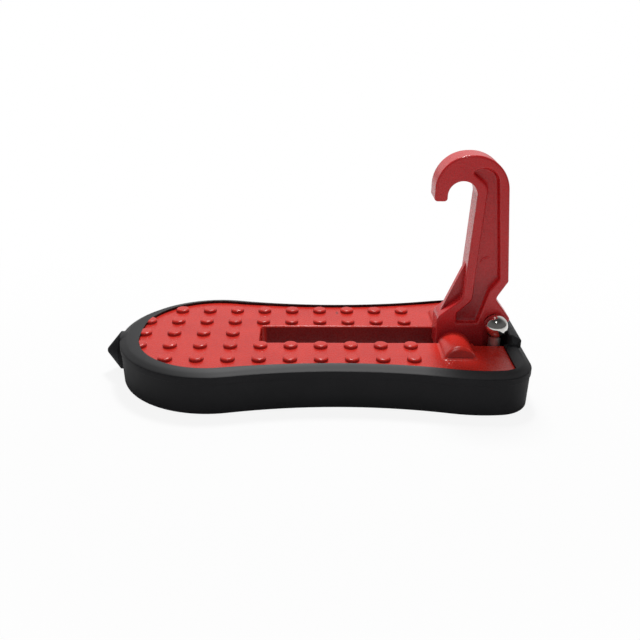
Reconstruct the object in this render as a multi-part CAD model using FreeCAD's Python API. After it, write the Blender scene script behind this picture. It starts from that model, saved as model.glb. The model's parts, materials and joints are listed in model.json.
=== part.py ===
import FreeCAD, Part
import math
import os

# Door latch step: a cast foot plate with a rubber bumper ring and a folding hook.
# Millimetres. +X points to the hinge end, +Z up, the bumper stands on Z = 0,
# and the origin is under the middle of the whole part.

Vector = FreeCAD.Vector
UP = Vector(0, 0, 1)
ALONG = Vector(1, 0, 0)
ACROSS = Vector(0, 1, 0)

# Plan outline, measured at the bumper's lip
lobe_radius = 38.0
lobe_centre_x = -40.1
lobe_centre_y = 0.4
waist_x = 9.9
waist_half_width = 32.95
waist_share = 0.77
shoulder_x = 65.7
shoulder_half_width = 39.25
end_x = 84.4
corner_radius = 13.8

# Rubber bumper section
rubber_wall = 3.0
rim_width = 3.95
rim_crown = 1.1
rim_edge = -0.7
lip_height = 3.3
lip_proud = 0.3
wall_draft = 0.4
bottom_lip_width = 6.5
bottom_lip_thickness = 2.0
rubber_round = 0.6

# Opening in the rim at the nose, where the rim is wider
opening_radius = 29.5
opening_centre_x = -40.3
opening_centre_y = 4.0

# Wider rim at the hinge end, beside the pad
end_rim_width = 7.6

# Raised rubber pad at the hinge end
pad_half_width = 12.0
pad_inner_height = 6.1
pad_outer_height = 3.2
pad_setback = 0.75
pad_width = 5.35
pad_round = 1.0

# Cast plate
plate_top = 16.4
deck_thickness = 4.0
plate_wall = 3.0
rib_thickness = 2.0
rib_depth = 6.0
seat_clearance = 0.15

# Anti-slip studs
stud_pitch = 12.0
stud_diameter = 5.7
stud_height = 1.4
stud_round = 0.9
stud_first_x = -68.5
stud_columns = 10
stud_rows = 5
stud_edge_trim = 0.1

# Slot that the hook folds into, and the pocket round its heel
slot_half_width = 8.0
slot_corner_radius = 2.0
slot_edge_round = 0.7
pocket_half_width = 11.2
floor_thickness = 4.0
sweep_clearance = 0.8

# Hinge
pivot_x = 57.5
pivot_z = 13.8
pin_diameter = 6.0
pin_length = 42.0
pin_chamfer = 0.5
pin_press_clearance = 0.01
pin_running_clearance = 0.06
pin_throat_width = 4.0
barrel_radius = 7.0
barrel_crest_end = 21.6
barrel_foot_end = 24.0
barrel_round = 1.8
hub_radius = 6.6
hub_side_clearance = 0.3

# Hook, in places measured from the pivot
hook_thickness = 11.0
hook_edge_round = 0.8
throat_radius = 5.6
throat_x = -0.65
throat_z = 62.4
nose_width = 5.0
nose_drop = 2.2
nose_round = 1.2
crown_height = 9.2
crown_radius = 13.0
crown_slope = 2.9
shoulder_radius = 14.2
arm_back_x = 20.35
arm_back_z = 27.8
arm_back_lean = 5.2
neck_x = 15.9
neck_z = 20.5
heel_x = 23.1
heel_z = 11.0
heel_shank_x = 20.0
heel_shank_z = 9.2
heel_bottom_z = -5.7
hub_front_x = -7.1
hub_front_z = 12.4
arm_root_x = 2.7
arm_root_z = 20.8
stop_gap = 0.2
heel_round = 1.6
neck_round = 2.2
hub_round = 6.1
hub_shoulder_round = 4.5
arm_root_round = 5.0
fold_angle = 90.0

# Recessed panel on each flank of the hook
panel_depth = 3.0
panel_rim = 3.7
panel_end_x = 2.0
panel_foot_z = 10.0
panel_foot_left = 0.7
panel_foot_right = 9.2
panel_foot_rise = 4.2
panel_round = 1.0
panel_crown_round = 6.0
panel_floor_round = 1.2
panel_rim_round = 0.8

# Web in the corner between arm and hub
web_thickness = 2.6
web_top_z = 34.5
web_foot_z = 11.0
web_setback = 0.6

# Ball-headed pin beside the heel
ball_diameter = 9.6
ball_x = 16.2
ball_y = -8.4
ball_z = 10.0
stem_diameter = 5.0
ball_clearance = 0.35

# Hammer tip on the nose
tip_radius = 7.8
tip_z = 9.0
tip_seat = 0.2
tip_barrel = 0.4
tip_cone = 5.7
tip_point_radius = 0.9
tip_edge_round = 0.6
tip_shank_radius = 3.0
tip_shank_length = 14.0
tip_boss_radius = 6.0
tip_hole_clearance = 0.3
tip_end_gap = 1.0

# Places that follow from the sizes above
nose_x = lobe_centre_x - lobe_radius
shoulder_rise = shoulder_half_width - waist_half_width
flank_radii = ((shoulder_x - waist_x) ** 2 + shoulder_rise ** 2) / (2 * shoulder_rise)
hinge_waist_radius = waist_share * flank_radii
shoulder_plan_radius = flank_radii - hinge_waist_radius
plate_inset = rubber_wall + seat_clearance
lip_top = plate_top + rim_crown
pad_x = end_x - pad_setback
heel_bottom = pivot_z + heel_bottom_z
floor_top = heel_bottom - stop_gap
barrel_axis = Vector(pivot_x, 0, pivot_z)
half_hook = hook_thickness / 2
same_place = 1e-6
reach_samples = 24
pocket_start = pivot_x + barrel_radius + seat_clearance
floor_start = pivot_x + barrel_radius


def polar(centre, radius, angle):
    """Point at an angle in degrees on a circle in plan."""
    turn = math.radians(angle)
    return (centre[0] + radius * math.cos(turn), centre[1] + radius * math.sin(turn))


def bearing(start, end):
    """Angle in degrees of the line from start to end."""
    return math.degrees(math.atan2(end[1] - start[1], end[0] - start[0]))


outer_lobe = (lobe_centre_x, lobe_centre_y, lobe_radius)
rim_lobe = (opening_centre_x, opening_centre_y, opening_radius + rim_width)


def plan_arcs(inset, nose):
    """Arcs of the far half of an outline, from nose lobe to hinge end, moved inwards by inset."""
    lobe = nose[:2]
    nose_radius = nose[2]
    waist_rise = waist_half_width - lobe[1]
    nose_waist_radius = (
        (waist_x - lobe[0]) ** 2 + waist_rise ** 2 - nose_radius ** 2) / (
        2 * (nose_radius - waist_rise))
    nose_waist = (waist_x, waist_half_width + nose_waist_radius)
    hinge_waist = (waist_x, waist_half_width + hinge_waist_radius)
    shoulder = (shoulder_x, shoulder_half_width - shoulder_plan_radius)
    corner_x = end_x - corner_radius
    reach = shoulder_plan_radius - corner_radius
    corner = (corner_x, shoulder[1] + math.sqrt(reach ** 2 - (corner_x - shoulder_x) ** 2))
    lobe_end = bearing(lobe, nose_waist)
    waist_end = bearing(hinge_waist, shoulder)
    shoulder_end = bearing(shoulder, corner)
    return [
        (lobe, nose_radius - inset, 180.0, lobe_end),
        (nose_waist, nose_waist_radius + inset, lobe_end - 180.0, -90.0),
        (hinge_waist, hinge_waist_radius + inset, -90.0, waist_end),
        (shoulder, shoulder_plan_radius - inset, waist_end + 180.0, shoulder_end),
        (corner, corner_radius - inset, shoulder_end, 0.0),
    ]


def plan_wire(inset, z, lobe=outer_lobe):
    """Closed outline of the plan at height z, starting in the middle of the nose."""
    far_edges = []
    near_edges = []
    for centre, radius, start, end in plan_arcs(inset, lobe):
        points = [polar(centre, radius, angle) for angle in (start, (start + end) / 2, end)]
        far_edges.append(Part.Arc(*[Vector(x, y, z) for x, y in points]).toShape())
        near_edges.append(Part.Arc(*[Vector(x, -y, z) for x, y in reversed(points)]).toShape())
    nose_far = far_edges[0].Vertexes[0].Point
    nose = Vector(nose_far.x, 0, z)
    nose_near = Vector(nose_far.x, -nose_far.y, z)
    end_far = far_edges[-1].Vertexes[-1].Point
    end_near = Vector(end_far.x, -end_far.y, z)
    edges = [Part.LineSegment(nose, nose_far).toShape()]
    edges += far_edges
    edges.append(Part.LineSegment(end_far, end_near).toShape())
    edges += reversed(near_edges)
    edges.append(Part.LineSegment(nose_near, nose).toShape())
    return Part.Wire(edges)


def plan_prism(inset, bottom, top, lobe=outer_lobe):
    """Solid of a plan outline between two heights."""
    return Part.Face(plan_wire(inset, bottom, lobe)).extrude(UP * (top - bottom))


def rounded_wire(corners):
    """Closed wire in the XZ plane through corners (x, z, radius), with tangent arcs."""
    edges = []
    first = None
    last = None
    for index, (x, z, radius) in enumerate(corners):
        here = Vector(x, 0, z)
        before = corners[index - 1]
        after = corners[(index + 1) % len(corners)]
        back = (Vector(before[0], 0, before[1]) - here).normalize()
        forth = (Vector(after[0], 0, after[1]) - here).normalize()
        half = back.getAngle(forth) / 2
        start = here + back * (radius / math.tan(half))
        end = here + forth * (radius / math.tan(half))
        middle = here + (back + forth).normalize() * (radius / math.sin(half) - radius)
        if last is not None and last.distanceToPoint(start) > same_place:
            edges.append(Part.LineSegment(last, start).toShape())
        if radius > 0:
            edges.append(Part.Arc(start, middle, end).toShape())
        if first is None:
            first = start
        last = end
    edges.append(Part.LineSegment(last, first).toShape())
    return Part.Wire(edges)


def slab(corners, y_start, y_end):
    """Solid of an XZ outline between two places across the part."""
    face = Part.Face(rounded_wire(corners))
    face.translate(ACROSS * y_start)
    return face.extrude(ACROSS * (y_end - y_start))


def block(x_start, x_end, half_width, z_start, z_end):
    """Box across the middle plane."""
    corner = Vector(x_start, -half_width, z_start)
    return Part.makeBox(x_end - x_start, 2 * half_width, z_end - z_start, corner)


def cross_cylinder(radius, y_start, y_end):
    """Cylinder on the hinge axis."""
    return Part.makeCylinder(radius, y_end - y_start, barrel_axis + ACROSS * y_start, ACROSS)


def both_sides(shape):
    """A shape and its mirror image across the middle plane."""
    return [shape, shape.mirror(Vector(0, 0, 0), ACROSS)]


def arm_front_x(z):
    """Front edge of the hook's arm, a straight line from its root to the throat."""
    lean = (throat_x + throat_radius - arm_root_x) / (throat_z - arm_root_z)
    return arm_root_x + lean * (z - arm_root_z)


def crown_corner():
    """Corner where the crown's slope would meet the arm's back edge, measured from the pivot."""
    nose_left = throat_x - throat_radius - nose_width
    crown_left_z = throat_z + throat_radius + crown_height
    lean = math.tan(math.radians(arm_back_lean))
    rise = math.tan(math.radians(crown_slope))
    z = (crown_left_z + rise * (arm_back_x + lean * arm_back_z - nose_left)) / (1 + rise * lean)
    return arm_back_x - lean * (z - arm_back_z), z


def at_pivot(corners):
    """Corners moved from the pivot's own frame to the part's frame."""
    return [(pivot_x + x, pivot_z + z, radius) for x, z, radius in corners]


def hook_corners():
    """Corners of the hook's side outline, with their radii."""
    nose_right = throat_x - throat_radius
    nose_left = nose_right - nose_width
    nose_bottom = throat_z - nose_drop
    throat_top = throat_z + throat_radius
    crown_x, crown_z = crown_corner()
    return at_pivot([
        (nose_left, nose_bottom, nose_round),
        (nose_left, throat_top + crown_height, crown_radius),
        (crown_x, crown_z, shoulder_radius),
        (arm_back_x, arm_back_z, heel_round),
        (neck_x, neck_z, neck_round),
        (heel_x, heel_z, heel_round),
        (heel_shank_x, heel_shank_z, heel_round),
        (heel_shank_x, heel_bottom_z, heel_round),
        (0.0, heel_bottom_z, 0.0),
        (hub_front_x, -hub_radius, hub_round),
        (hub_front_x, hub_front_z, hub_shoulder_round),
        (arm_root_x, arm_root_z, arm_root_round),
        (throat_x + throat_radius, throat_z, 0.0),
        (throat_x + throat_radius, throat_top, throat_radius),
        (nose_right, throat_top, throat_radius),
        (nose_right, nose_bottom, nose_round),
    ])


def panel_corners():
    """Corners of the recess on the hook's flank, with their radii."""
    crown_x, crown_z = crown_corner()
    end_z = throat_z + throat_radius + panel_rim
    return at_pivot([
        (panel_end_x, end_z, panel_round),
        (crown_x - panel_rim, crown_z - panel_rim, panel_crown_round),
        (arm_back_x - panel_rim, arm_back_z + panel_round, 2 * panel_round),
        (neck_x - panel_rim + panel_round, neck_z + panel_rim, 2 * panel_round),
        (panel_foot_right, panel_foot_z, panel_round),
        (panel_foot_left, panel_foot_z, panel_round),
        (panel_foot_left, panel_foot_z + panel_foot_rise, panel_round),
        (arm_root_x + panel_rim, arm_root_z - panel_round, 3 * panel_round),
        (arm_front_x(throat_z) + panel_rim, throat_z + panel_rim, 4 * panel_round),
    ])


hook_body = slab(hook_corners(), -half_hook, half_hook)
hook_reach = max(
    math.hypot(point.x - pivot_x, point.z - pivot_z)
    for edge in hook_body.Edges for point in edge.discretize(Number=reach_samples))
slot_end = pivot_x - hook_reach - sweep_clearance


def build_bumper():
    """Rubber ring with its lip, its groove for the plate, the pad and the tip's seat."""
    edge = nose_x
    lip_bottom = plate_top - lip_height
    ring = plan_wire(0.0, 0.0).makePipeShell([rounded_wire([
        (edge + rim_width, plate_top, 0.0),
        (edge + rim_width, lip_top, rubber_round),
        (edge, plate_top + rim_edge, rubber_round),
        (edge, lip_bottom, lip_proud / 2),
        (edge + lip_proud, lip_bottom - lip_proud / 2, 0.0),
        (edge + lip_proud + wall_draft, 0.0, rubber_round),
        (edge + bottom_lip_width, 0.0, 0.0),
        (edge + bottom_lip_width, bottom_lip_thickness, 0.0),
        (edge + rubber_wall, bottom_lip_thickness, 0.0),
        (edge + rubber_wall, plate_top, 0.0),
    ])], True, False)
    pad = slab([
        (pad_x - pad_width, plate_top, 0.0),
        (pad_x - pad_width, plate_top + pad_inner_height, pad_round),
        (pad_x, plate_top + pad_outer_height, pad_round),
        (pad_x, lip_bottom, 0.0),
        (end_x - rubber_wall, lip_bottom, 0.0),
        (end_x - rubber_wall, plate_top, 0.0),
    ], -pad_half_width, pad_half_width)
    tongue_half = pocket_half_width - seat_clearance
    tongue = block(pad_x - pad_width, end_x - rubber_wall / 2, tongue_half, floor_top, plate_top)
    seat_centre = Vector(nose_x - tip_seat, 0, tip_z)
    seat = Part.makeCylinder(tip_radius, tip_seat + rubber_wall, seat_centre, ALONG)
    hole_radius = tip_shank_radius + tip_hole_clearance
    hole = Part.makeCylinder(hole_radius, tip_seat + plate_inset, seat_centre, ALONG)
    apron = plan_prism(rubber_wall, plate_top, lip_top).cut(
        plan_prism(rim_width, plate_top, lip_top, rim_lobe))
    end_rim_x = end_x - end_rim_width
    end_rim = plan_prism(rubber_wall, plate_top, lip_top).cut([
        block(nose_x, end_rim_x, shoulder_half_width, plate_top, lip_top),
        block(end_rim_x, pad_x - pad_width, pad_half_width, plate_top, lip_top)])
    return ring.fuse([pad, tongue, seat, apron, end_rim]).removeSplitter().cut(hole)


def build_hump():
    """Hinge boss on the far side: a round hump on the deck with a slanted, rounded end."""
    middle = barrel_axis + ACROSS * slot_half_width
    left = middle - ALONG * barrel_radius
    right = middle + ALONG * barrel_radius
    arch = Part.Arc(left, middle + UP * barrel_radius, right).toShape()
    half_disc = Part.Face(Part.Wire([arch, Part.makeLine(right, left)]))
    hump = half_disc.extrude(ACROSS * (barrel_foot_end + barrel_radius - slot_half_width))
    crest = Vector(0, barrel_crest_end, pivot_z + barrel_radius)
    foot = Vector(0, barrel_foot_end, plate_top)
    fall = foot - crest
    beyond = ACROSS * (4 * barrel_radius)
    top = crest - fall
    bottom = foot + fall * 2
    slope = Part.Face(Part.makePolygon([top, bottom, bottom + beyond, top + beyond, top]))
    slope.translate(ALONG * (pivot_x - 2 * barrel_radius))
    hump = hump.cut(slope.extrude(ALONG * (4 * barrel_radius)))
    rim = [
        edge for edge in hump.Edges
        if edge.CenterOfMass.y > slot_half_width + barrel_round
        and edge.BoundBox.XLength > barrel_radius / 2
        and edge.BoundBox.ZLength > barrel_radius / 2]
    return hump.makeFillet(barrel_round, rim)


def build_studs():
    """Round anti-slip studs in rows, trimmed where the bumper's rim covers them."""
    root = plate_top - deck_thickness / 2
    field = plan_prism(rim_width + stud_edge_trim, root, plate_top + stud_height, rim_lobe)
    slot_way = block(slot_end - stud_diameter, end_x, slot_half_width, 0, 2 * plate_top)
    studs = []
    for column in range(stud_columns):
        x = stud_first_x + column * stud_pitch
        for row in range(stud_rows):
            y = (row - (stud_rows - 1) / 2) * stud_pitch
            centre = Vector(x, y, root)
            in_field = field.isInside(centre, same_place, True)
            if slot_way.isInside(centre, same_place, True) or not in_field:
                continue
            stud = Part.makeCylinder(stud_diameter / 2, plate_top + stud_height - root, centre)
            top_edge = max(stud.Edges, key=lambda edge: edge.CenterOfMass.z)
            studs.append(stud.makeFillet(stud_round, [top_edge]).common(field))
    return studs


def build_hollow(deck_under):
    """Space under the deck, round the slot walls, hinge barrels, tip boss and ribs."""
    foot = bottom_lip_thickness
    cavity = plan_prism(plate_inset + plate_wall, foot, deck_under)
    slot_walls = block(
        slot_end - plate_wall, end_x, slot_half_width + plate_wall, foot, deck_under)
    pocket_walls = block(
        pocket_start - plate_wall, end_x, pocket_half_width + plate_wall, foot, deck_under)
    barrel = cross_cylinder(barrel_radius, slot_half_width, barrel_foot_end - barrel_round)
    boss = Part.makeCylinder(
        tip_boss_radius, tip_shank_length, Vector(nose_x + plate_inset, 0, tip_z), ALONG)
    half_rib = rib_thickness / 2
    rib_bottom = deck_under - rib_depth
    ribs = [block(nose_x, slot_end, half_rib, rib_bottom, deck_under)]
    for column in range(1, stud_columns, 2):
        x = stud_first_x + (column + 0.5) * stud_pitch
        ribs.append(block(x - half_rib, x + half_rib, shoulder_half_width, rib_bottom, deck_under))
    return cavity.cut([slot_walls, pocket_walls, boss] + both_sides(barrel) + ribs)


def build_slot():
    """Opening for the hook: the through slot, the heel's way and the pocket at the hinge end."""
    above = pivot_z + 2 * barrel_radius
    slot = block(slot_end, floor_start, slot_half_width, 0, above)
    slot = slot.makeFillet(slot_corner_radius, [
        edge for edge in slot.Edges
        if edge.BoundBox.XMax < slot_end + seat_clearance and edge.BoundBox.ZLength > plate_top])
    heel_way = block(floor_start - stop_gap, end_x, slot_half_width, floor_top, above)
    pocket = block(pocket_start, end_x, pocket_half_width, floor_top, above)
    return slot.fuse([heel_way, pocket]).removeSplitter()


def build_plate():
    """Cast plate: deck, outer wall, slot walls, ribs, hinge barrels, heel floor and studs."""
    body = plan_prism(plate_inset, bottom_lip_thickness, plate_top)
    under_floor = block(
        floor_start, end_x - plate_inset - plate_wall, pocket_half_width, 0,
        floor_top - floor_thickness)
    body = body.cut([build_hollow(plate_top - deck_thickness), build_slot(), under_floor])
    slot_rim = [
        edge for edge in body.Edges
        if edge.BoundBox.ZMin > plate_top - seat_clearance
        and edge.BoundBox.XMin > slot_end - seat_clearance
        and edge.BoundBox.XMax < pocket_start + seat_clearance
        and abs(edge.CenterOfMass.y) < slot_half_width + seat_clearance]
    body = body.makeFillet(slot_edge_round, slot_rim)
    body = body.fuse(both_sides(build_hump()) + build_studs())
    press = pin_diameter / 2 + pin_press_clearance
    half_bore = pin_length / 2 + stop_gap
    bore = cross_cylinder(press, -half_bore, half_bore)
    throat = block(
        pivot_x - pin_throat_width / 2, pivot_x + pin_throat_width / 2, half_bore, 0, pivot_z)
    ball_seat = Part.makeCylinder(
        stem_diameter / 2 + pin_press_clearance, floor_top, Vector(pivot_x + ball_x, ball_y, 0))
    tip_bore = Part.makeCylinder(
        tip_shank_radius + pin_press_clearance, plate_inset + tip_shank_length,
        Vector(nose_x, 0, tip_z), ALONG)
    return body.cut([bore, throat, ball_seat, tip_bore]).removeSplitter()


def build_hook():
    """Folding hook with recessed flanks, corner web, hub cheeks and the ball pin's groove."""
    outline_edges = [edge for edge in hook_body.Edges if edge.BoundBox.YLength < hook_edge_round]
    hook = hook_body.makeFillet(hook_edge_round, outline_edges)
    recess = slab(panel_corners(), half_hook - panel_depth, half_hook)
    floor_edges = [
        edge for edge in recess.Edges if edge.BoundBox.YMax < half_hook - panel_depth / 2]
    recess = recess.makeFillet(panel_floor_round, floor_edges)
    hook = hook.cut(both_sides(recess))
    rim_edges = [
        edge for face in hook.Faces if abs(abs(face.CenterOfMass.y) - half_hook) < same_place
        for wire in face.Wires if not wire.isSame(face.OuterWire) for edge in wire.Edges]
    hook = hook.makeFillet(panel_rim_round, rim_edges)
    web = slab(at_pivot([
        (arm_front_x(web_top_z), web_top_z, 0.0),
        (hub_front_x + web_setback, web_foot_z, 0.0),
        (arm_root_x, web_foot_z, 0.0),
        (arm_front_x(web_top_z) + web_setback, web_top_z, 0.0),
    ]), -web_thickness / 2, web_thickness / 2)
    cheek_end = slot_half_width - hub_side_clearance
    hub = cross_cylinder(hub_radius, -cheek_end, cheek_end)
    hook = hook.fuse([web, hub])
    ball_centre = barrel_axis + Vector(ball_x, ball_y, ball_z)
    groove_radius = ball_diameter / 2 + ball_clearance
    outwards = Vector(ball_x, 0, ball_z)
    ring = Part.Face(Part.Wire(Part.makeCircle(groove_radius, ball_centre, outwards.cross(ACROSS))))
    groove = ring.revolve(barrel_axis, ACROSS, fold_angle)
    bore = cross_cylinder(pin_diameter / 2 + pin_running_clearance, -cheek_end, cheek_end)
    return hook.cut([Part.makeSphere(groove_radius, ball_centre), groove, bore]).removeSplitter()


def build_pin():
    """Hinge pin with chamfered ends."""
    pin = cross_cylinder(pin_diameter / 2, -pin_length / 2, pin_length / 2)
    ends = [edge for edge in pin.Edges if edge.BoundBox.YLength < pin_chamfer]
    return pin.makeChamfer(pin_chamfer, ends)


def build_ball_pin():
    """Ball-headed steel pin that stands in the heel floor."""
    foot = Vector(pivot_x + ball_x, ball_y, floor_top - floor_thickness)
    centre = barrel_axis + Vector(ball_x, ball_y, ball_z)
    stem = Part.makeCylinder(stem_diameter / 2, centre.z - foot.z, foot)
    return stem.fuse(Part.makeSphere(ball_diameter / 2, centre)).removeSplitter()


def build_tip():
    """Hammer tip: short barrel and blunt cone on a shank that goes into the nose."""
    seat_x = nose_x - tip_seat
    shoulder = seat_x - tip_barrel
    head = Part.makeCylinder(tip_radius, tip_barrel, Vector(shoulder, 0, tip_z), ALONG)
    cone_start = Vector(shoulder, 0, tip_z)
    cone = Part.makeCone(tip_radius, tip_point_radius, tip_cone, cone_start, ALONG * -1)
    shank = Part.makeCylinder(
        tip_shank_radius, tip_seat + plate_inset + tip_shank_length - tip_end_gap,
        Vector(seat_x, 0, tip_z), ALONG)
    head = head.fuse(cone).removeSplitter()
    point = [edge for edge in head.Edges if edge.BoundBox.XMax < shoulder - tip_cone / 2]
    head = head.makeFillet(tip_edge_round, point)
    return head.fuse(shank).removeSplitter()


os.makedirs("parts", exist_ok=True)
nodes = {
    "rubber_bumper": build_bumper(),
    "step_plate": build_plate(),
    "latch_hook": build_hook(),
    "hinge_pin": build_pin(),
    "ball_pin": build_ball_pin(),
    "hammer_tip": build_tip(),
}
for name, shape in nodes.items():
    solid = shape.Solids[0]
    print(name, len(shape.Solids), shape.isValid(), round(solid.Volume, 1), solid.BoundBox)
    solid.exportStep("parts/" + name + ".step")
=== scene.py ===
"""Door latch step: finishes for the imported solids, small cast details, studio and camera."""
import json
import logging
import math
from dataclasses import dataclass
from enum import Enum
from typing import Any, Optional, Sequence, Union

import bmesh
import bpy
from mathutils import Matrix, Vector


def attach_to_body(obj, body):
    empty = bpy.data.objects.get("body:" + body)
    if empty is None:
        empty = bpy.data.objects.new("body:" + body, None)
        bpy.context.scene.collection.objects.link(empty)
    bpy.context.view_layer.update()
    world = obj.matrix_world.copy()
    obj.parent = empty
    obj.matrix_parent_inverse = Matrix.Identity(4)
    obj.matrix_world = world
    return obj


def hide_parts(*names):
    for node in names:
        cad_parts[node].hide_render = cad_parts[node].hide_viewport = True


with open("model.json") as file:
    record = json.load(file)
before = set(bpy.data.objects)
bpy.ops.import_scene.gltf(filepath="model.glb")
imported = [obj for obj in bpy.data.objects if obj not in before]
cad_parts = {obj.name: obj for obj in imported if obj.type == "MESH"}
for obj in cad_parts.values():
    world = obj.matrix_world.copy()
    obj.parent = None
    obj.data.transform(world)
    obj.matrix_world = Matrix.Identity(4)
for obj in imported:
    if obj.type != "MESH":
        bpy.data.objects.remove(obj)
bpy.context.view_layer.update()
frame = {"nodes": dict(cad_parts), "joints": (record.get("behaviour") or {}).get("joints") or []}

LOG = logging.getLogger("door_latch_step")
MM = 0.001
BASE_BODY = "base"
HINGE_X = frame["joints"][0]["pos_m"][0]
CREASE = 36.0
WHITE = (1.0, 1.0, 1.0, 1.0)
NOISE_MEAN = 0.5

Colour = tuple[float, float, float]
Number = Union[int, float]
Span = tuple[float, float]


class Ray(Enum):
    """Kinds of ray that the studio answers differently."""

    CAMERA = "Is Camera Ray"
    GLOSSY = "Is Glossy Ray"
    TRANSMISSION = "Is Transmission Ray"


class Axis(Enum):
    """Directions of the part."""

    ALONG = 0
    ACROSS = 1
    UP = 2


class Side(Enum):
    """Sides of the part, with the sign of their across coordinate."""

    NEAR = -1
    BOTH = 0
    FAR = 1


def screen_colour(red: int, green: int, blue: int) -> Colour:
    """Turn a colour of the screen into a linear one.

    Args:
        red: Red from 0 to 255.
        green: Green from 0 to 255.
        blue: Blue from 0 to 255.

    Returns:
        The same colour in linear light.
    """
    def channel(level: int) -> float:
        """Linear light of one channel, by the sRGB curve."""
        part = level / 255
        return part / 12.92 if part <= 0.04045 else ((part + 0.055) / 1.055) ** 2.4

    return channel(red), channel(green), channel(blue)


class Signal:
    """A shader socket that takes part in Python arithmetic."""

    def __init__(self, book: "NodeBook", socket: bpy.types.NodeSocket) -> None:
        """Keep the socket and the book that its nodes go in."""
        self.book = book
        self.socket = socket

    def _maths(self, operation: str, *terms: Union["Signal", Number]) -> "Signal":
        """Add a Math node.

        Args:
            operation: The node's operation.
            terms: Its inputs in order.

        Returns:
            The node's result.
        """
        made = self.book.node("ShaderNodeMath", {"operation": operation}, dict(enumerate(terms)))
        return Signal(self.book, made.outputs[0])

    def __add__(self, other: Union["Signal", Number]) -> "Signal":
        """Sum."""
        return self._maths("ADD", self, other)

    __radd__ = __add__

    def __sub__(self, other: Union["Signal", Number]) -> "Signal":
        """Difference."""
        return self._maths("SUBTRACT", self, other)

    def __rsub__(self, other: Number) -> "Signal":
        """Difference with this signal taken away."""
        return self._maths("SUBTRACT", other, self)

    def __mul__(self, other: Union["Signal", Number]) -> "Signal":
        """Product."""
        return self._maths("MULTIPLY", self, other)

    __rmul__ = __mul__

    def __pow__(self, other: Number) -> "Signal":
        """Power."""
        return self._maths("POWER", self, other)

    def step(self, low: float, high: float) -> "Signal":
        """Smooth step of this signal.

        Args:
            low: Where the result leaves 0.
            high: Where the result reaches 1.

        Returns:
            A signal from 0 to 1.
        """
        settings = {"interpolation_type": "SMOOTHSTEP"}
        inputs = {"Value": self, "From Min": low, "From Max": high}
        made = self.book.node("ShaderNodeMapRange", settings, inputs)
        return Signal(self.book, made.outputs["Result"])

    def band(self, low: float, high: float, soft: float) -> "Signal":
        """One between two limits and nothing beyond them.

        Args:
            low: Lower limit.
            high: Upper limit.
            soft: How far the band fades outside its limits.

        Returns:
            A signal from 0 to 1.
        """
        return self.step(low - soft, low) * (1 - self.step(high, high + soft))

    def larger(self, other: "Signal") -> "Signal":
        """The larger of two signals."""
        return self._maths("MAXIMUM", self, other)


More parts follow.
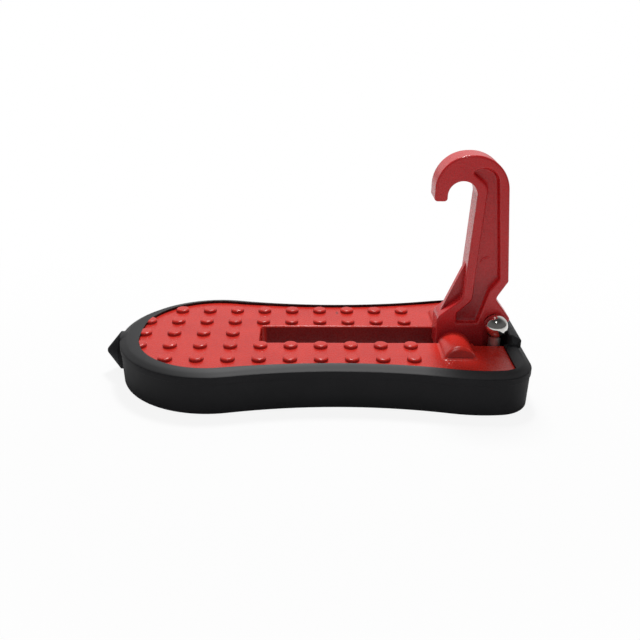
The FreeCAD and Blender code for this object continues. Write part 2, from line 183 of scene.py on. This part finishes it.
class NodeBook:
    """Writes the nodes of one material or of the world."""

    def __init__(self, tree: bpy.types.NodeTree) -> None:
        """Empty the tree and keep it."""
        self.tree = tree
        tree.nodes.clear()

    def node(
        self,
        kind: str,
        settings: Optional[dict[str, Any]] = None,
        inputs: Optional[dict[Union[str, int], Any]] = None,
    ) -> bpy.types.Node:
        """Add any node.

        Args:
            kind: The node's type.
            settings: Its own settings, set first.
            inputs: Values or signals of its sockets, by name or number.

        Returns:
            The new node.
        """
        made = self.tree.nodes.new(kind)
        for name, value in (settings or {}).items():
            setattr(made, name, value)
        for name, value in (inputs or {}).items():
            socket = made.inputs[name]
            if isinstance(value, Signal):
                self.tree.links.new(value.socket, socket)
            else:
                socket.default_value = value
        return made

    def signal(self, node: bpy.types.Node, output: Union[str, int] = 0) -> Signal:
        """One output of a node as a signal."""
        return Signal(self, node.outputs[output])

    def place(self, shift: Sequence[float] = (0, 0, 0), scale: Sequence[float] = (1, 1, 1)) -> Signal:
        """Object coordinates, moved and stretched.

        Args:
            shift: Point in metres that becomes the pattern's origin.
            scale: Stretch along each axis.

        Returns:
            The coordinates as a signal.
        """
        coords = self.signal(self.node("ShaderNodeTexCoord"), "Object")
        settings = {"vector_type": "TEXTURE"}
        centred = self.signal(self.node(
            "ShaderNodeMapping", settings, {"Vector": coords, "Location": shift}))
        stretched = self.node(
            "ShaderNodeVectorMath", {"operation": "MULTIPLY"}, {0: centred, 1: scale})
        return self.signal(stretched)

    def axes(self, place: Signal) -> tuple[Signal, Signal, Signal]:
        """The three parts of a vector."""
        parts = self.node("ShaderNodeSeparateXYZ", None, {"Vector": place})
        return self.signal(parts, "X"), self.signal(parts, "Y"), self.signal(parts, "Z")

    def noise(self, place: Signal, size: float, detail: float) -> Signal:
        """Soft noise.

        Args:
            place: Coordinates.
            size: Size of its blots in metres.
            detail: How many finer layers it has.

        Returns:
            A signal around NOISE_MEAN.
        """
        inputs = {"Vector": place, "Scale": 1 / size, "Detail": detail}
        return self.signal(self.node("ShaderNodeTexNoise", None, inputs), "Fac")

    def blend(self, first: Any, second: Any, share: Signal) -> Signal:
        """Mix two colours.

        Args:
            first: Colour where share is 0.
            second: Colour where share is 1.
            share: How much of the second there is.

        Returns:
            The mixed colour.
        """
        def full(colour: Any) -> Any:
            """A written colour with its opacity, or a signal as it is."""
            return colour if isinstance(colour, Signal) else (*colour, 1.0)

        inputs = {0: share, 6: full(first), 7: full(second)}
        made = self.node("ShaderNodeMix", {"data_type": "RGBA"}, inputs)
        return self.signal(made, 2)

    def ray(self, kind: Ray) -> Signal:
        """One for rays of a kind and nothing for others."""
        return self.signal(self.node("ShaderNodeLightPath"), kind.value)

    def seen(self) -> Signal:
        """One for rays by which the camera sees, straight or through something clear."""
        return self.ray(Ray.CAMERA).larger(self.ray(Ray.TRANSMISSION))

    def bump(self, height: Signal, depth: float, strength: float) -> Signal:
        """Surface normal of a height pattern.

        Args:
            height: Pattern from 0 to 1.
            depth: Metres between its lowest and highest places.
            strength: Share of the effect.

        Returns:
            The normal.
        """
        inputs = {"Height": height, "Distance": depth, "Strength": strength}
        return self.signal(self.node("ShaderNodeBump", None, inputs))

    def surface(self, **sockets: Any) -> None:
        """Close the material with a Principled shader.

        Args:
            sockets: Its inputs, with underscores for spaces.
        """
        inputs = {name.replace("_", " "): value for name, value in sockets.items()}
        shader = self.node("ShaderNodeBsdfPrincipled", None, inputs)
        self.node("ShaderNodeOutputMaterial", None, {"Surface": self.signal(shader)})


def new_book(name: str) -> tuple[bpy.types.Material, NodeBook]:
    """Start a material.

    Args:
        name: Its name.

    Returns:
        The material and the book for its nodes.
    """
    material = bpy.data.materials.new(name)
    material.use_nodes = True
    return material, NodeBook(material.node_tree)


@dataclass(frozen=True)
class PaintedShadeOrMark:
    """A box in which the paint is darker: painted shade, or a real dark mark such as a speck.

    Its limits and soft edges are in millimetres, and across counts outwards from the middle.
    """

    along: Span
    across: Span
    up: Span
    soft: tuple[float, float, float]
    strength: float
    side: Side = Side.BOTH
    flanks_only: bool = False
    flank_fade: Span = (0.3, 0.6)

    def mask(self, book: NodeBook) -> Signal:
        """How dark each place is.

        Args:
            book: The paint's nodes.

        Returns:
            A signal from 0 to the box's strength.
        """
        along, across, up = book.axes(book.place())
        outward = (across ** 2) ** 0.5 if self.side is Side.BOTH else across * self.side.value
        mask = self.strength
        limits = (self.along, self.across, self.up)
        for signal, (low, high), soft in zip((along, outward, up), limits, self.soft):
            mask = mask * signal.band(low * MM, high * MM, soft * MM)
        if self.flanks_only:
            normal = book.signal(book.node("ShaderNodeTexCoord"), "Normal")
            _, sideways, _ = book.axes(normal)
            mask = mask * (sideways ** 2).step(*self.flank_fade)
        return mask


@dataclass(frozen=True)
class CastingMark:
    """A faint raised arc that the mould left, on the upper left of a circle.

    Its inner and outer edges and its fades are in radii.
    """

    centre: Vector
    radius: float = 2.4 * MM
    inner: float = 0.7
    outer: float = 1.2
    upper_fade: Span = (-0.1, 0.4)
    left_fade: Span = (-0.3, 0.5)
    rise: float = 6.0

    def height(self, book: NodeBook) -> Signal:
        """How far the arc stands up, in grains of the paint.

        Args:
            book: The paint's nodes.

        Returns:
            A signal from 0 to the mark's rise.
        """
        aside, _, above = book.axes(book.place(self.centre, [1 / self.radius] * len(Axis)))
        reach = (aside ** 2 + above ** 2) ** 0.5
        ring = reach.step(self.inner, 1) * (1 - reach.step(1, self.outer))
        upper = above.step(*self.upper_fade)
        left = 1 - aside.step(*self.left_fade)
        return ring * upper * left * self.rise


@dataclass(frozen=True)
class CastPaint:
    """Satin red paint over a sand-cast alloy."""

    name: str
    light: Colour
    deep: Colour
    grain: float = 0.9 * MM
    grain_share: float = 0.55
    blot: float = 14 * MM
    blot_share: float = 0.3
    blot_rise: float = 0.5
    contrast: Span = (0.3, 0.7)
    fleck_size: float = 0.6
    fleck_share: float = 0.4
    fleck_edge: Span = (0.68, 0.78)
    roughness: float = 0.28
    spread: float = 0.2
    skin: float = 0.09 * MM
    skin_strength: float = 0.6
    gloss: float = 0.5
    mark: Optional[CastingMark] = None
    painted_shades_and_marks: tuple[PaintedShadeOrMark, ...] = ()
    painted_shade_and_mark_colour: Colour = (0.016, 0.016, 0.021)

    def material(self) -> bpy.types.Material:
        """Write the paint's nodes.

        Returns:
            The material.
        """
        material, book = new_book(self.name)
        place = book.place()
        grain = book.noise(place, self.grain, detail=4.0)
        blot = book.noise(place, self.blot, detail=2.0)
        fleck = book.noise(place, self.grain * self.fleck_size, detail=1.0)
        share = grain.step(*self.contrast) * self.grain_share
        share = share + blot.step(*self.contrast) * self.blot_share
        share = share + fleck.step(*self.fleck_edge) * self.fleck_share
        colour = book.blend(self.light, self.deep, share)
        # Each box blends in painted shade, or a real dark mark such as a speck, towards a dusky dark
        # colour.
        for darkening in self.painted_shades_and_marks:
            colour = book.blend(colour, self.painted_shade_and_mark_colour, darkening.mask(book))
        height = grain + blot * self.blot_rise
        if self.mark is not None:
            height = height + self.mark.height(book)
        book.surface(
            Base_Color=colour, Roughness=self.roughness + self.spread * (grain - NOISE_MEAN),
            Normal=book.bump(height, self.skin, self.skin_strength), Specular_IOR_Level=self.gloss)
        return material


@dataclass(frozen=True)
class MouldedRubber:
    """Black rubber with a fine mould grain, and a soft sheen on its rim that fades to both ends."""

    name: str
    dark: Colour
    pale: Colour
    grain: float = 0.5 * MM
    grain_share: float = 0.3
    grain_edge: Span = (0.45, 0.8)
    grain_spread: float = 0.1
    blot: float = 20 * MM
    blot_share: float = 0.6
    blot_edge: Span = (0.35, 0.75)
    blot_spread: float = 0.2
    roughness: float = 0.62
    skin: float = 0.03 * MM
    skin_strength: float = 0.5
    gloss: float = 0.15
    sheen: float = 0.75
    sheen_roughness: float = 0.58
    sheen_rise: Span = (15.3 * MM, 16.2 * MM)
    hinge_fade: Span = (38 * MM, 60 * MM)
    hinge_loss: float = 0.7
    nose_fade: Span = (-80 * MM, -45 * MM)
    nose_loss: float = 0.4

    def material(self) -> bpy.types.Material:
        """Write the rubber's nodes.

        Returns:
            The material.
        """
        material, book = new_book(self.name)
        place = book.place()
        grain = book.noise(place, self.grain, detail=3.0)
        blot = book.noise(place, self.blot, detail=3.0)
        share = blot.step(*self.blot_edge) * self.blot_share
        share = share + grain.step(*self.grain_edge) * self.grain_share
        along, _, up = book.axes(place)
        sheen = self.sheen * up.step(*self.sheen_rise)
        sheen = sheen * (1 - self.hinge_loss * along.step(*self.hinge_fade))
        sheen = sheen * (1 - self.nose_loss * (1 - along.step(*self.nose_fade)))
        patchy = (blot - NOISE_MEAN) * self.blot_spread + (grain - NOISE_MEAN) * self.grain_spread
        book.surface(
            Base_Color=book.blend(self.dark, self.pale, share),
            Roughness=self.roughness + patchy,
            Coat_Weight=sheen, Coat_Roughness=self.sheen_roughness,
            Normal=book.bump(grain, self.skin, self.skin_strength), Specular_IOR_Level=self.gloss)
        return material


@dataclass(frozen=True)
class TurnedSteel:
    """Bright steel with faint turning lines across an axis, dull below a height where one is given."""

    name: str
    colour: Colour
    worn: Colour
    roughness: float
    axis: Axis
    pitch: float = 0.12 * MM
    stretch: float = 60.0
    line_spread: float = 0.06
    smear: float = 2.5 * MM
    smear_share: float = 0.6
    smear_edge: Span = (0.4, 0.75)
    smear_spread: float = 0.08
    skin: float = 0.004 * MM
    skin_strength: float = 0.3
    dull_below: Optional[float] = None
    dull_edge: float = 0.3 * MM
    dull_roughness: float = 0.5

    def material(self) -> bpy.types.Material:
        """Write the steel's nodes.

        Returns:
            The material.
        """
        material, book = new_book(self.name)
        scale = [self.stretch] * len(Axis)
        scale[self.axis.value] = 1 / self.pitch
        lines = book.noise(book.place(scale=scale), size=1.0, detail=2.0)
        place = book.place()
        smear = book.noise(place, self.smear, detail=3.0)
        roughness = self.roughness + (smear - NOISE_MEAN) * self.smear_spread
        roughness = roughness + (lines - NOISE_MEAN) * self.line_spread
        if self.dull_below is not None:
            _, _, up = book.axes(place)
            shine = up.step(self.dull_below - self.dull_edge, self.dull_below + self.dull_edge)
            roughness = roughness * shine + self.dull_roughness * (1 - shine)
        worn = smear.step(*self.smear_edge) * self.smear_share
        book.surface(
            Base_Color=book.blend(self.colour, self.worn, worn),
            Metallic=1.0,
            Roughness=roughness,
            Normal=book.bump(lines, self.skin, self.skin_strength))
        return material


@dataclass(frozen=True)
class BlackCoat:
    """Matte black coat on steel, with a slightly sandy skin, and painted light that makes it paler
    below.
    """

    name: str
    dark: Colour
    pale: Colour
    roughness: float = 0.75
    spread: float = 0.2
    grain: float = 0.35 * MM
    grain_share: float = 0.1
    rub: float = 3 * MM
    rub_share: float = 0.1
    rub_edge: Span = (0.55, 0.8)
    painted_lower_light_share: float = 0.8
    painted_lower_light_fade: Span = (5 * MM, 13 * MM)
    skin: float = 0.03 * MM
    skin_strength: float = 0.6
    gloss: float = 0.04

    def material(self) -> bpy.types.Material:
        """Write the coat's nodes.

        Returns:
            The material.
        """
        material, book = new_book(self.name)
        place = book.place()
        grain = book.noise(place, self.grain, detail=2.0)
        rub = book.noise(place, self.rub, detail=4.0).step(*self.rub_edge)
        _, _, up = book.axes(place)
        # Painted light: the coat is paler towards the bottom and darker on top.
        worn = 1 - up.step(*self.painted_lower_light_fade)
        share = worn * self.painted_lower_light_share + rub * self.rub_share + grain * self.grain_share
        book.surface(
            Base_Color=book.blend(self.dark, self.pale, share),
            Roughness=self.roughness + (grain - NOISE_MEAN) * self.spread,
            Normal=book.bump(grain, self.skin, self.skin_strength), Specular_IOR_Level=self.gloss)
        return material


def dress(node: str, material: bpy.types.Material) -> None:
    """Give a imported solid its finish.

    Args:
        node: The solid's name.
        material: Its finish.
    """
    slots = frame["nodes"][node].data.materials
    slots.clear()
    slots.append(material)
    LOG.info("%s wears %s", node, material.name)


def attach(
    name: str, shape: bmesh.types.BMesh, material: bpy.types.Material
) -> bpy.types.Object:
    """Turn a finished shape into a piece of the base.

    Args:
        name: The piece's name.
        shape: Its mesh, in place; freed here.
        material: Its finish.

    Returns:
        The piece.
    """
    mesh = bpy.data.meshes.new(name)
    shape.to_mesh(mesh)
    shape.free()
    mesh.shade_smooth()
    mesh.set_sharp_from_angle(angle=math.radians(CREASE))
    mesh.materials.append(material)
    piece = bpy.data.objects.new(name, mesh)
    bpy.context.scene.collection.objects.link(piece)
    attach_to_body(piece, BASE_BODY)
    LOG.info("%s rides on %s", name, BASE_BODY)
    return piece


@dataclass
class BossFillet:
    """The concave fillet where a hinge boss meets the deck."""

    side: Side
    half_width: float = 6.5 * MM
    start_y: float = 9.0 * MM
    end_y: float = 24.0 * MM
    deck: float = 16.4 * MM
    reach: float = 1.1 * MM
    corner: float = 1.6 * MM
    sink: float = 0.04 * MM
    side_lean: float = 21.8
    end_lean: float = 28.6
    corner_steps: int = 6
    arc_steps: int = 6

    def stations(self) -> list[tuple[Vector, Vector]]:
        """Foot of the boss, from the slot round its end and back.

        Returns:
            Outward direction and foot point of each station, as a pair of vectors.
        """
        inner_x = self.half_width - self.corner
        inner_y = self.end_y - self.corner
        path = [(Vector((-1, 0, 0)), Vector((-self.half_width, self.start_y, 0)))]
        for hand in (-1, 1):
            for step in range(self.corner_steps + 1):
                share = step / self.corner_steps
                turn = math.radians(90 * (share if hand < 0 else 1 - share))
                out = Vector((hand * math.cos(turn), math.sin(turn), 0))
                path.append((out, Vector((hand * inner_x, inner_y, 0)) + out * self.corner))
        path.append((Vector((1, 0, 0)), Vector((self.half_width, self.start_y, 0))))
        return path

    def profile(self, out: Vector, foot: Vector) -> list[Vector]:
        """Closed section of the fillet at one station.

        Args:
            out: Direction away from the boss.
            foot: Point at the boss's foot.

        Returns:
            The section's points.
        """
        lean = math.radians(self.side_lean + (self.end_lean - self.side_lean) * abs(out.y))
        up = Vector((0, 0, 1))
        wall = foot + (up * math.cos(lean) - out * math.sin(lean)) * self.reach
        flat = foot + out * self.reach
        points = []
        for step in range(self.arc_steps + 1):
            share = step / self.arc_steps
            rest = 1 - share
            points.append(wall * rest ** 2 + foot * (2 * share * rest) + flat * share ** 2)
        points.append(foot - (out + up) * (self.reach / 2))
        shift = Vector((HINGE_X, 0, self.deck)) - (out + up) * self.sink
        mirror = Vector((1, self.side.value, 1))
        return [(point + shift) * mirror for point in points]

    def build(self, material: bpy.types.Material) -> None:
        """Extrude the section along the boss's foot.

        Args:
            material: The fillet's paint.
        """
        first, *others = self.stations()
        shape = bmesh.new()
        sections = [shape.faces.new([shape.verts.new(point) for point in self.profile(*first)])]
        for station in others:
            grown = bmesh.ops.extrude_face_region(shape, geom=sections[-1:])["geom"]
            sections.append(next(item for item in grown if isinstance(item, bmesh.types.BMFace)))
            for corner, point in zip(sections[-1].verts, self.profile(*station)):
                corner.co = point
        bmesh.ops.delete(shape, geom=sections[1:-1], context="FACES_ONLY")
        bmesh.ops.recalc_face_normals(shape, faces=shape.faces)
        attach(f"boss_fillet_{self.side.name.lower()}", shape, material)


@dataclass
class Footplate:
    """The cast plate that the foot stands on."""

    node: str = "step_plate"
    light: Colour = screen_colour(214, 50, 38)
    deep: Colour = screen_colour(184, 30, 25)
    gloss: float = 0.4
    # Painted shade inside the slot, leaving its left end wall lit.
    slot_painted_shade: PaintedShadeOrMark = PaintedShadeOrMark(
        along=(-18.6, 90), across=(0, 8.1), up=(-1, 15.5), soft=(1.2, 0.05, 0.4), strength=0.62)
    # Painted shade on the sides of the studs and round the feet of the hinge bosses.
    stud_wall_painted_shade: PaintedShadeOrMark = PaintedShadeOrMark(
        along=(-90, 90), across=(0, 90), up=(16.6, 17.2), soft=(1, 1, 0.17), strength=0.4)
    # Painted shade on the end faces of the hinge bosses.
    boss_end_painted_shade: PaintedShadeOrMark = PaintedShadeOrMark(
        along=(51, 64), across=(22.6, 25), up=(16.6, 22), soft=(0.5, 0.5, 0.3), strength=0.3)
    speck: PaintedShadeOrMark = PaintedShadeOrMark(
        along=(10.9, 11.4), across=(21.6, 23.6), up=(16, 17), soft=(0.5, 0.8, 0.2), strength=0.5,
        side=Side.FAR)

    def build(self) -> None:
        """Dress the plate and lay the fillets of its hinge bosses."""
        painted_shades_and_marks = (self.slot_painted_shade, self.stud_wall_painted_shade, self.boss_end_painted_shade, self.speck)
        plate = CastPaint("plate_paint", self.light, self.deep, gloss=self.gloss, painted_shades_and_marks=painted_shades_and_marks)
        dress(self.node, plate.material())
        fillet = CastPaint("fillet_paint", self.light, self.deep, gloss=self.gloss).material()
        for side in (Side.NEAR, Side.FAR):
            BossFillet(side).build(fillet)


@dataclass
class Bumper:
    """The rubber ring round the plate, its rim made even."""

    node: str = "rubber_bumper"
    rubber: MouldedRubber = MouldedRubber(
        "bumper_rubber", screen_colour(28, 28, 30), screen_colour(36, 36, 38))
    step_foot: float = 17.067 * MM
    step_top: float = 17.5 * MM
    slack: float = 0.05 * MM
    upright: float = 0.05
    settle: float = 0.3 * MM
    spread: float = 1.05 * MM
    rim_slope: float = 1.8 / 3.95
    room_share: float = 0.8
    weld: float = 0.001 * MM

    def is_step(self, face: bmesh.types.BMFace) -> bool:
        """Whether a face belongs to the small upright step that runs round the rim."""
        heights = [corner.co.z for corner in face.verts]
        above = min(heights) > self.step_foot - self.slack
        below = max(heights) < self.step_top + self.slack
        return above and below and abs(face.normal.z) < self.upright

    def reach(self, corner: bmesh.types.BMVert, way: Vector) -> float:
        """How far a point at the step's foot may move without passing the next one below it.

        Args:
            corner: The point.
            way: Level direction away from the step, of length 1.

        Returns:
            The distance in metres.
        """
        offsets = [edge.other_vert(corner).co - corner.co for edge in corner.link_edges]
        room = min(offset.dot(way) for offset in offsets if offset.z < -self.slack)
        return min(self.spread, self.room_share * room)

    def spread_step(self, shape: bmesh.types.BMesh) -> None:
        """Spread the upright step on the rim to a smooth rise.

        Args:
            shape: The ring, changed in place.
        """
        outward: dict[bmesh.types.BMVert, Vector] = {}
        for face in filter(self.is_step, shape.faces):
            for corner in face.verts:
                outward[corner] = outward.get(corner, Vector()) + face.normal
        moves: dict[bmesh.types.BMVert, Vector] = {}
        for corner, way in outward.items():
            moves[corner] = Vector((0, 0, -self.settle))
            if corner.co.z < self.step_foot + self.slack:
                level = Vector((way.x, way.y, 0)).normalized()
                downhill = level - Vector((0, 0, self.rim_slope))
                moves[corner] = downhill * self.reach(corner, level)
        for corner, move in moves.items():
            bmesh.ops.translate(shape, verts=[corner], vec=move)

    def build(self) -> None:
        """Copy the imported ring, make its rim even and dress it."""
        shape = bmesh.new()
        shape.from_mesh(frame["nodes"][self.node].data)
        bmesh.ops.remove_doubles(shape, verts=shape.verts, dist=self.weld)
        shape.normal_update()
        self.spread_step(shape)
        ring = attach("bumper_ring", shape, self.rubber.material())
        evened = ring.modifiers.new("even_normals", "WEIGHTED_NORMAL")
        evened.keep_sharp = True
        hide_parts(self.node)


@dataclass
class FoldingHook:
    """The hook that goes over a door's striker."""

    node: str = "latch_hook"
    light: Colour = screen_colour(204, 38, 41)
    deep: Colour = screen_colour(182, 27, 30)
    grain: float = 0.7 * MM
    mark: CastingMark = CastingMark(Vector((69.1 * MM, 0.0, 48.6 * MM)))
    # Painted shade in the hook's recessed panel and web, darker towards the foot.
    panel_painted_shade: PaintedShadeOrMark = PaintedShadeOrMark(
        along=(-90, 90), across=(0, 4.6), up=(-90, 24), soft=(1, 0.6, 30), strength=0.42,
        flanks_only=True)
    # Painted shade low on the hook's outer flanks round the hub.
    hub_painted_shade: PaintedShadeOrMark = PaintedShadeOrMark(
        along=(-90, 90), across=(5.2, 20), up=(-90, 20.5), soft=(1, 0.6, 8), strength=0.36,
        flanks_only=True)

    def build(self) -> None:
        """Dress the hook."""
        paint = CastPaint(
            "hook_paint", self.light, self.deep, grain=self.grain, mark=self.mark,
            painted_shades_and_marks=(self.panel_painted_shade, self.hub_painted_shade))
        dress(self.node, paint.material())


@dataclass
class Pins:
    """The hinge pin and the ball-headed pin."""

    hinge_node: str = "hinge_pin"
    ball_node: str = "ball_pin"
    hinge_steel: TurnedSteel = TurnedSteel(
        "hinge_steel", screen_colour(190, 190, 192), screen_colour(150, 150, 152), 0.3, Axis.ACROSS)
    ball_steel: TurnedSteel = TurnedSteel(
        "ball_steel", screen_colour(226, 224, 220), screen_colour(200, 198, 194), 0.1, Axis.UP,
        dull_below=19.6 * MM)

    def build(self) -> None:
        """Dress both pins."""
        dress(self.hinge_node, self.hinge_steel.material())
        dress(self.ball_node, self.ball_steel.material())


@dataclass
class HammerTip:
    """The blunt cone on the nose."""

    node: str = "hammer_tip"
    coat: BlackCoat = BlackCoat("tip_coat", screen_colour(26, 26, 28), screen_colour(54, 55, 58))

    def build(self) -> None:
        """Dress the tip."""
        dress(self.node, self.coat.material())


@dataclass
class Studio:
    """Floor, lights and world.

    The world's fades are shares of the way to the back and to the top.
    """

    floor_size: float = 8.0
    floor_drop: float = 0.3 * MM
    floor_colour: Colour = (0.85, 0.85, 0.85)
    floor_glow: float = 0.88
    shadow_fade: Span = (0.10, 0.24)
    back_fill: float = 0.45
    front_fill: float = 0.60
    front_top_fill: float = 0.06
    fill_back_fade: Span = (-0.3, 0.4)
    fill_up_fade: Span = (0.2, 0.6)
    back_glow: float = 0.7
    front_glow: float = 0.12
    top_glow_loss: float = 0.6
    glow_back_fade: Span = (0.1, 0.75)
    glow_up_fade: Span = (0.5, 0.95)
    key_power: float = 3.5
    key_place: Vector = Vector((0.02, 0.26, 0.62))
    key_size: float = 0.12
    top_power: float = 0.55
    top_place: Vector = Vector((0.02, -0.30, 0.62))
    top_size: float = 0.045
    aim: Vector = Vector((0.0, 0.0, 0.03))

    def build(self) -> None:
        """Set the floor, the lamps and the world."""
        self.build_floor()
        self.build_lamp("key", self.key_place, self.key_size, self.key_power)
        self.build_lamp("top", self.top_place, self.top_size, self.top_power)
        self.build_world()

    def build_floor(self) -> None:
        """Lay a large pale floor just under the bumper."""
        shape = bmesh.new()
        bmesh.ops.create_grid(shape, x_segments=1, y_segments=1, size=self.floor_size / 2)
        bmesh.ops.translate(shape, verts=shape.verts, vec=(0, 0, -self.floor_drop))
        mesh = bpy.data.meshes.new("floor")
        shape.to_mesh(mesh)
        shape.free()
        floor = bpy.data.objects.new("floor", mesh)
        bpy.context.scene.collection.objects.link(floor)
        mesh.materials.append(self.floor_paper())
        LOG.info("floor laid")

    def floor_paper(self) -> bpy.types.Material:
        """Write pale paper that keeps a soft shadow near the part and is white further out.

        Returns:
            The material.
        """
        material, book = new_book("floor_paper")
        along, across, _ = book.axes(book.place())
        far = ((along ** 2 + across ** 2) ** 0.5).step(*self.shadow_fade)
        share = book.seen() * (self.floor_glow + (1 - self.floor_glow) * far)
        paper = book.node("ShaderNodeBsdfDiffuse", None, {"Color": (*self.floor_colour, 1.0)})
        white = book.node("ShaderNodeEmission", None, {"Color": WHITE, "Strength": 1.0})
        mixed = book.node("ShaderNodeMixShader", None, {
            0: share, 1: book.signal(paper), 2: book.signal(white)})
        book.node("ShaderNodeOutputMaterial", None, {"Surface": book.signal(mixed)})
        return material

    def build_lamp(self, name: str, place: Vector, size: float, power: float) -> None:
        """Hang a square lamp that faces the part.

        Args:
            name: The lamp's name.
            place: Where it hangs.
            size: Its side.
            power: Its power in watts.
        """
        lamp = bpy.data.lights.new(name, "AREA")
        lamp.shape = "SQUARE"
        lamp.size = size
        lamp.energy = power
        hung = bpy.data.objects.new(name, lamp)
        hung.location = place
        hung.rotation_euler = (self.aim - place).to_track_quat("-Z", "Y").to_euler()
        bpy.context.scene.collection.objects.link(hung)
        LOG.info("lamp %s hung", name)

    def build_world(self) -> None:
        """White to the camera, brighter behind than in front to gloss, and a soft fill."""
        world = bpy.data.worlds.new("studio")
        world.use_nodes = True
        bpy.context.scene.world = world
        book = NodeBook(world.node_tree)
        seen = book.seen()
        gloss = book.ray(Ray.GLOSSY) * (1 - seen)
        way = book.signal(book.node("ShaderNodeTexCoord"), "Generated")
        _, back, up = book.axes(way)
        glow = self.front_glow + (self.back_glow - self.front_glow) * back.step(*self.glow_back_fade)
        glow = glow * (1 - self.top_glow_loss * up.step(*self.glow_up_fade))
        front = self.front_fill + (self.front_top_fill - self.front_fill) * up.step(*self.fill_up_fade)
        fill = front + (self.back_fill - front) * back.step(*self.fill_back_fade)
        strength = seen + gloss * glow + (1 - seen) * (1 - gloss) * fill
        shader = book.node("ShaderNodeBackground", None, {"Color": WHITE, "Strength": strength})
        book.node("ShaderNodeOutputWorld", None, {"Surface": book.signal(shader)})
        LOG.info("world set")


@dataclass
class Viewpoint:
    """Camera at the photograph's place."""

    lens: float = 44.84
    sensor: float = 36.0
    azimuth: float = -0.98
    elevation: float = 23.37
    roll: float = 0.57
    distance: float = 340.62 * MM
    target: Vector = Vector((3.57 * MM, 12.77 * MM, 17.2 * MM))
    nearest: float = 10 * MM

    def build(self) -> None:
        """Place the camera and make it the scene's."""
        turn, rise, tilt = map(math.radians, (self.azimuth, self.elevation, self.roll))
        ahead = Vector((
            -math.sin(turn) * math.cos(rise), math.cos(turn) * math.cos(rise), -math.sin(rise)))
        level = Vector((math.cos(turn), math.sin(turn), 0.0))
        upright = level.cross(ahead)
        right = math.cos(tilt) * level + math.sin(tilt) * upright
        up = math.cos(tilt) * upright - math.sin(tilt) * level
        data = bpy.data.cameras.new("viewpoint")
        data.lens = self.lens
        data.sensor_width = self.sensor
        data.clip_start = self.nearest
        camera = bpy.data.objects.new("viewpoint", data)
        turned = Matrix((right, up, -ahead)).transposed().to_4x4()
        camera.matrix_world = Matrix.Translation(self.target - ahead * self.distance) @ turned
        bpy.context.scene.collection.objects.link(camera)
        bpy.context.scene.camera = camera
        LOG.info("camera placed")


def main() -> None:
    """Build the part's pieces, then the studio."""
    logging.basicConfig(level=logging.INFO, format="%(message)s")
    bpy.context.scene.view_settings.view_transform = "Standard"
    for assembly in (Footplate(), Bumper(), FoldingHook(), Pins(), HammerTip()):
        assembly.build()
    Viewpoint().build()
    Studio().build()


if __name__ == "__main__":
    main()
